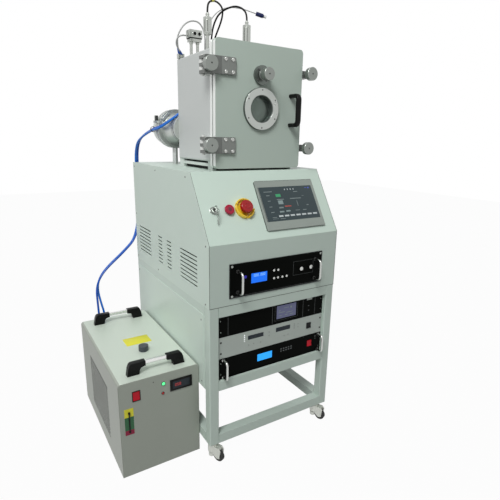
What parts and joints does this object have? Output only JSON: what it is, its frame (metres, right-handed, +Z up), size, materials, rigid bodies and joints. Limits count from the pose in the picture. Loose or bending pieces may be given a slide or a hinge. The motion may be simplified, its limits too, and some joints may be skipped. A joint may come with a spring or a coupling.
{
  "type": "plasma cleaner",
  "caption": "Vacuum plasma cleaner: hinged chamber with viewport on a sloped console and wheeled rack frame, with a separate water chiller on hoses.",
  "frame": {"origin": "middle of the footprint of cabinet and chiller, on the floor", "axes": "+Z up, +Y from the front to the back, +X to the right seen from the front"},
  "size_m": [0.9236, 0.9186, 1.7744],
  "materials": {
    "cabinet_paint": "satin powder coat",
    "chamber_paint": "satin powder coat",
    "black_panel": "satin black",
    "grey_panel": "brushed",
    "steel": "machined",
    "dark_steel": "dark oxide",
    "chrome": "polished",
    "black_plastic": "moulded",
    "grey_plastic": "moulded",
    "silver_bezel": "brushed",
    "yellow_plastic": "moulded",
    "red_plastic": "moulded",
    "display": "lit display",
    "window_glass": "clear",
    "seal_rubber": "matte",
    "caster_grey": "die cast",
    "tyre": "matte",
    "hose_blue": "soft tube",
    "cable_black": "cable jacket",
    "cable_grey": "cable jacket",
    "plug_blue": "moulded",
    "air_tube": "translucent tube"
  },
  "bodies": {
    "cabinet": {"frame": "cabinet_paint", "console_shell": "cabinet_paint", "cabinet_panels": "cabinet_paint", "rf_generator": "black_panel", "flow_controller": "black_panel", "match_controller": "grey_panel", "power_meter": "black_panel", "panel_handles": "chrome", "touch_panel": "silver_bezel", "switch_bezels": "yellow_plastic", "chamber_body": "chamber_paint", "door_seal": "seal_rubber", "chamber_brackets": "chamber_paint", "shelf_rack": "steel", "vacuum_pump": "steel", "top_fittings": "steel", "chiller_case": "cabinet_paint", "chiller_handles": "black_plastic", "display_windows": "display", "cooling_hose_supply": "hose_blue", "cooling_hose_return": "hose_blue", "gauge_cable_left": "cable_black", "gauge_cable_right": "cable_black", "sensor_cable": "cable_grey", "sensor_plug": "plug_blue", "air_tube_front": "air_tube", "air_tube_rear": "air_tube"},
    "door": {"chamber_door": "chamber_paint", "viewport_ring": "steel", "viewport_glass": "window_glass", "door_handle": "black_plastic", "door_brackets": "dark_steel"},
    "hinge_knob_lower": {"hinge_knob_lower": "steel"},
    "hinge_knob_upper": {"hinge_knob_upper": "steel"},
    "clamp_knob_lower": {"clamp_knob_lower": "steel"},
    "clamp_knob_upper": {"clamp_knob_upper": "steel"},
    "shutter": {"shutter": "steel"},
    "key": {"key": "chrome"},
    "push_button": {"push_button": "red_plastic"},
    "estop_button": {"estop_button": "red_plastic"},
    "flow_rocker": {"flow_rocker": "red_plastic"},
    "match_rocker": {"match_rocker": "black_plastic"},
    "chiller_rocker": {"chiller_rocker": "red_plastic"},
    "filler_cap": {"filler_cap": "grey_plastic"},
    "generator_button_1": {"generator_button_1": "chrome"},
    "generator_button_2": {"generator_button_2": "chrome"},
    "generator_button_3": {"generator_button_3": "chrome"},
    "generator_button_4": {"generator_button_4": "chrome"},
    "generator_button_5": {"generator_button_5": "chrome"},
    "generator_button_6": {"generator_button_6": "chrome"},
    "generator_knob_1": {"generator_knob_1": "chrome"},
    "generator_knob_2": {"generator_knob_2": "chrome"},
    "caster_front_left": {"caster_front_left": "caster_grey"},
    "wheel_front_left": {"wheel_front_left": "tyre"},
    "caster_front_right": {"caster_front_right": "caster_grey"},
    "wheel_front_right": {"wheel_front_right": "tyre"},
    "caster_rear_left": {"caster_rear_left": "caster_grey"},
    "wheel_rear_left": {"wheel_rear_left": "tyre"},
    "caster_rear_right": {"caster_rear_right": "caster_grey"},
    "wheel_rear_right": {"wheel_rear_right": "tyre"}
  },
  "joints": [
    {"name": "door_swing", "type": "hinge", "parent": "cabinet", "child": "door", "pos_m": [-0.05975, -0.193, 1.371], "axis": [0, 0, -1], "range_deg": [0, 110]},
    {"name": "hinge_knob_lower_turn", "type": "hinge", "parent": "door", "child": "hinge_knob_lower", "pos_m": [-0.05975, -0.28, 1.232], "axis": [0, 1, 0], "continuous": true},
    {"name": "hinge_knob_upper_turn", "type": "hinge", "parent": "door", "child": "hinge_knob_upper", "pos_m": [-0.05975, -0.28, 1.51], "axis": [0, 1, 0], "continuous": true},
    {"name": "clamp_knob_lower_turn", "type": "hinge", "parent": "door", "child": "clamp_knob_lower", "pos_m": [0.37925, -0.28, 1.224], "axis": [0, 1, 0], "continuous": true},
    {"name": "clamp_knob_upper_turn", "type": "hinge", "parent": "door", "child": "clamp_knob_upper", "pos_m": [0.37925, -0.28, 1.511], "axis": [0, 1, 0], "continuous": true},
    {"name": "shutter_turn", "type": "hinge", "parent": "door", "child": "shutter", "pos_m": [0.16425, -0.294, 1.491], "axis": [0, 1, 0], "range_deg": [0, 60]},
    {"name": "key_turn", "type": "hinge", "parent": "cabinet", "child": "key", "pos_m": [-0.08475, -0.33128, 1.00872], "axis": [0, 0.8476, -0.5306], "range_deg": [0, 90]},
    {"name": "push_button_press", "type": "slide", "parent": "cabinet", "child": "push_button", "axis": [0, 0.8476, -0.5306], "range_m": [0, 0.004], "stiffness_N_per_m": 400, "springref_m": -0.002},
    {"name": "estop_press", "type": "slide", "parent": "cabinet", "child": "estop_button", "axis": [0, 0.8476, -0.5306], "range_m": [0, 0.005]},
    {"name": "generator_button_1_press", "type": "slide", "parent": "cabinet", "child": "generator_button_1", "axis": [0, 1, 0], "range_m": [0, 0.0015], "stiffness_N_per_m": 400, "springref_m": -0.001},
    {"name": "generator_button_2_press", "type": "slide", "parent": "cabinet", "child": "generator_button_2", "axis": [0, 1, 0], "range_m": [0, 0.0015], "stiffness_N_per_m": 400, "springref_m": -0.001},
    {"name": "generator_button_3_press", "type": "slide", "parent": "cabinet", "child": "generator_button_3", "axis": [0, 1, 0], "range_m": [0, 0.0015], "stiffness_N_per_m": 400, "springref_m": -0.001},
    {"name": "generator_button_4_press", "type": "slide", "parent": "cabinet", "child": "generator_button_4", "axis": [0, 1, 0], "range_m": [0, 0.0015], "stiffness_N_per_m": 400, "springref_m": -0.001},
    {"name": "generator_button_5_press", "type": "slide", "parent": "cabinet", "child": "generator_button_5", "axis": [0, 1, 0], "range_m": [0, 0.0015], "stiffness_N_per_m": 400, "springref_m": -0.001},
    {"name": "generator_button_6_press", "type": "slide", "parent": "cabinet", "child": "generator_button_6", "axis": [0, 1, 0], "range_m": [0, 0.0015], "stiffness_N_per_m": 400, "springref_m": -0.001},
    {"name": "generator_knob_1_turn", "type": "hinge", "parent": "cabinet", "child": "generator_knob_1", "pos_m": [0.26525, -0.395, 0.757], "axis": [0, 1, 0], "range_deg": [-150, 150]},
    {"name": "generator_knob_2_turn", "type": "hinge", "parent": "cabinet", "child": "generator_knob_2", "pos_m": [0.31425, -0.395, 0.758], "axis": [0, 1, 0], "range_deg": [-150, 150]},
    {"name": "flow_rocker_tilt", "type": "hinge", "parent": "cabinet", "child": "flow_rocker", "pos_m": [0.35175, -0.377, 0.3955], "axis": [1, 0, 0], "range_deg": [0, 10]},
    {"name": "match_rocker_tilt", "type": "hinge", "parent": "cabinet", "child": "match_rocker", "pos_m": [0.34325, -0.377, 0.4815], "axis": [1, 0, 0], "range_deg": [0, 10]},
    {"name": "chiller_rocker_tilt", "type": "hinge", "parent": "cabinet", "child": "chiller_rocker", "pos_m": [-0.39625, -0.2984, 0.334], "axis": [1, 0, 0], "range_deg": [0, 10]},
    {"name": "filler_cap_turn", "type": "hinge", "parent": "cabinet", "child": "filler_cap", "pos_m": [-0.29475, -0.087, 0.396], "axis": [0, 0, 1], "continuous": true},
    {"name": "caster_front_left_swivel", "type": "hinge", "parent": "cabinet", "child": "caster_front_left", "pos_m": [-0.11775, -0.37, 0.072], "axis": [0, 0, 1], "continuous": true},
    {"name": "wheel_front_left_roll", "type": "hinge", "parent": "caster_front_left", "child": "wheel_front_left", "pos_m": [-0.10476, -0.40001, 0.023], "axis": [0.9178, 0.3971, 0], "continuous": true},
    {"name": "caster_front_right_swivel", "type": "hinge", "parent": "cabinet", "child": "caster_front_right", "pos_m": [0.41225, -0.37, 0.072], "axis": [0, 0, 1], "continuous": true},
    {"name": "wheel_front_right_roll", "type": "hinge", "parent": "caster_front_right", "child": "wheel_front_right", "pos_m": [0.42524, -0.40001, 0.023], "axis": [0.9178, 0.3971, 0], "continuous": true},
    {"name": "caster_rear_left_swivel", "type": "hinge", "parent": "cabinet", "child": "caster_rear_left", "pos_m": [-0.11775, 0.416, 0.072], "axis": [0, 0, 1], "continuous": true},
    {"name": "wheel_rear_left_roll", "type": "hinge", "parent": "caster_rear_left", "child": "wheel_rear_left", "pos_m": [-0.10476, 0.38599, 0.023], "axis": [0.9178, 0.3971, 0], "continuous": true},
    {"name": "caster_rear_right_swivel", "type": "hinge", "parent": "cabinet", "child": "caster_rear_right", "pos_m": [0.41225, 0.416, 0.072], "axis": [0, 0, 1], "continuous": true},
    {"name": "wheel_rear_right_roll", "type": "hinge", "parent": "caster_rear_right", "child": "wheel_rear_right", "pos_m": [0.42524, 0.38599, 0.023], "axis": [0.9178, 0.3971, 0], "continuous": true}
  ]
}
